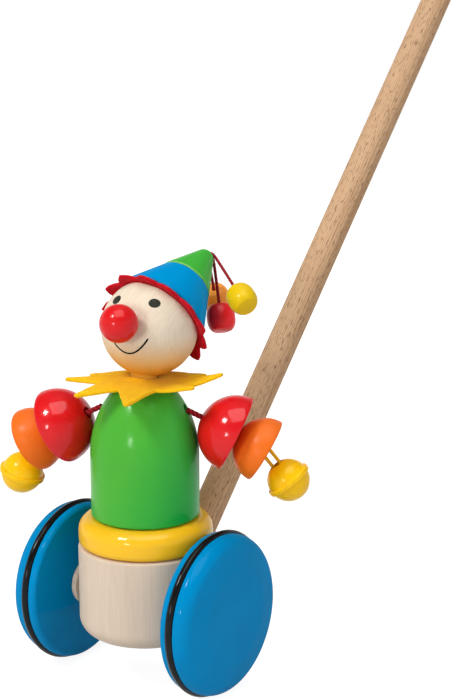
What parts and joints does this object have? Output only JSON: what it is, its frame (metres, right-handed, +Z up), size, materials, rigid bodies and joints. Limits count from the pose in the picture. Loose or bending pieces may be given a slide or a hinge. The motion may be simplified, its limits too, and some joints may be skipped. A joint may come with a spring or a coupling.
{
  "type": "wooden push toy",
  "caption": "Push-along wooden clown on a wheeled block: turning body, swinging half-ball arms with bells, a tasselled hat and a long leaning push stick.",
  "frame": {"origin": "centre of the base block's flat underside", "axes": "+X along the axle to the clown's left-hand side as it faces the viewer's front, +Y back towards the push stick, +Z up; the clown faces -Y"},
  "size_m": [0.1355, 0.4545, 0.4574],
  "materials": {
    "maple_wood": "raw turned maple, fine sanded",
    "beech_wood": "raw beech with flecked grain",
    "blue_lacquer": "water based gloss lacquer on wood",
    "green_lacquer": "water based gloss lacquer on wood",
    "yellow_lacquer": "water based gloss lacquer on wood",
    "red_lacquer": "water based gloss lacquer on wood",
    "orange_lacquer": "water based gloss lacquer on wood",
    "black_rubber": "smooth moulded rubber ring",
    "yellow_felt": "pressed felt",
    "red_felt": "pressed felt",
    "dark_red_cord": "twisted polyester cord",
    "yellow_bell": "pressed steel with yellow lacquer",
    "steel": "bare steel ball"
  },
  "bodies": {
    "chassis": {"base_block": "maple_wood", "push_stick": "beech_wood", "centre_dowel": "maple_wood", "head": "maple_wood", "nose": "red_lacquer", "nose_peg": "beech_wood", "hair": "red_felt", "hat": "blue_lacquer", "hat_tip": "green_lacquer", "hat_peg": "beech_wood"},
    "wheel_set": {"axle": "beech_wood", "wheel_right": "blue_lacquer", "wheel_left": "blue_lacquer", "tyre_right": "black_rubber", "tyre_left": "black_rubber", "spacer_right": "maple_wood", "spacer_left": "maple_wood"},
    "torso": {"waist_ring": "yellow_lacquer", "body": "green_lacquer", "collar": "yellow_felt", "shoulder_cord_right": "dark_red_cord", "shoulder_cord_left": "dark_red_cord"},
    "arm_right": {"arm_cord_right": "dark_red_cord", "upper_arm_right": "red_lacquer"},
    "hand_right": {"lower_arm_right": "orange_lacquer", "hand_cord_right": "dark_red_cord"},
    "bell_right": {"bell_upper_right": "yellow_bell", "bell_lower_right": "yellow_bell", "bell_loop_right": "yellow_bell", "pellet_right": "steel"},
    "arm_left": {"arm_cord_left": "dark_red_cord", "upper_arm_left": "red_lacquer"},
    "hand_left": {"lower_arm_left": "orange_lacquer", "hand_cord_left": "dark_red_cord"},
    "bell_left": {"bell_upper_left": "yellow_bell", "bell_lower_left": "yellow_bell", "bell_loop_left": "yellow_bell", "pellet_left": "steel"},
    "tassel_yellow": {"tassel_cord_yellow": "dark_red_cord", "bead_yellow": "yellow_lacquer"},
    "tassel_red": {"tassel_cord_red": "dark_red_cord", "bead_red": "red_lacquer"},
    "tassel_orange": {"tassel_cord_orange": "dark_red_cord", "bead_orange": "orange_lacquer"}
  },
  "joints": [
    {"name": "wheel_spin", "type": "hinge", "parent": "chassis", "child": "wheel_set", "pos_m": [0, 0, 0.0163], "axis": [1, 0, 0], "continuous": true},
    {"name": "torso_turn", "type": "hinge", "parent": "chassis", "child": "torso", "pos_m": [0, 0, 0.06], "axis": [0, 0, 1], "range_deg": [-88, 40]},
    {"name": "shoulder_right", "type": "hinge", "parent": "torso", "child": "arm_right", "pos_m": [0.01796, 0.008, 0.1062], "axis": [0.515, -0.8572, 0], "range_deg": [0, 45], "deforming": ["collar"]},
    {"name": "elbow_right", "type": "hinge", "parent": "arm_right", "child": "hand_right", "pos_m": [0.03711, 0.0195, 0.09521], "axis": [0.515, -0.8572, 0], "range_deg": [-5, 13]},
    {"name": "bell_swing_right", "type": "hinge", "parent": "hand_right", "child": "bell_right", "pos_m": [0.04841, 0.02629, 0.08744], "axis": [0.515, -0.8572, 0], "range_deg": [-18, 24], "deforming": ["hand_cord_right"]},
    {"name": "shoulder_left", "type": "hinge", "parent": "torso", "child": "arm_left", "pos_m": [-0.01796, -0.008, 0.1062], "axis": [-0.2419, 0.9703, 0], "range_deg": [0, 45], "deforming": ["collar"]},
    {"name": "elbow_left", "type": "hinge", "parent": "arm_left", "child": "hand_left", "pos_m": [-0.03986, -0.01346, 0.09435], "axis": [-0.2419, 0.9703, 0], "range_deg": [-5, 13]},
    {"name": "bell_swing_left", "type": "hinge", "parent": "hand_left", "child": "bell_left", "pos_m": [-0.05266, -0.01665, 0.08658], "axis": [-0.2419, 0.9703, 0], "range_deg": [-6, 37], "deforming": ["hand_cord_left"]},
    {"name": "tassel_swing_yellow", "type": "hinge", "parent": "chassis", "child": "tassel_yellow", "pos_m": [0.00308, 0.0484, 0.17003], "axis": [-0.4478, -0.8942, 0], "range_deg": [0, 40]},
    {"name": "tassel_swing_red", "type": "hinge", "parent": "chassis", "child": "tassel_red", "pos_m": [0.00326, 0.04879, 0.16791], "axis": [-0.6088, -0.7934, 0], "range_deg": [-20, 2]},
    {"name": "tassel_swing_orange", "type": "hinge", "parent": "chassis", "child": "tassel_orange", "pos_m": [0.00131, 0.0487, 0.16882], "axis": [0.9426, 0.3338, 0], "range_deg": [0, 40]}
  ]
}
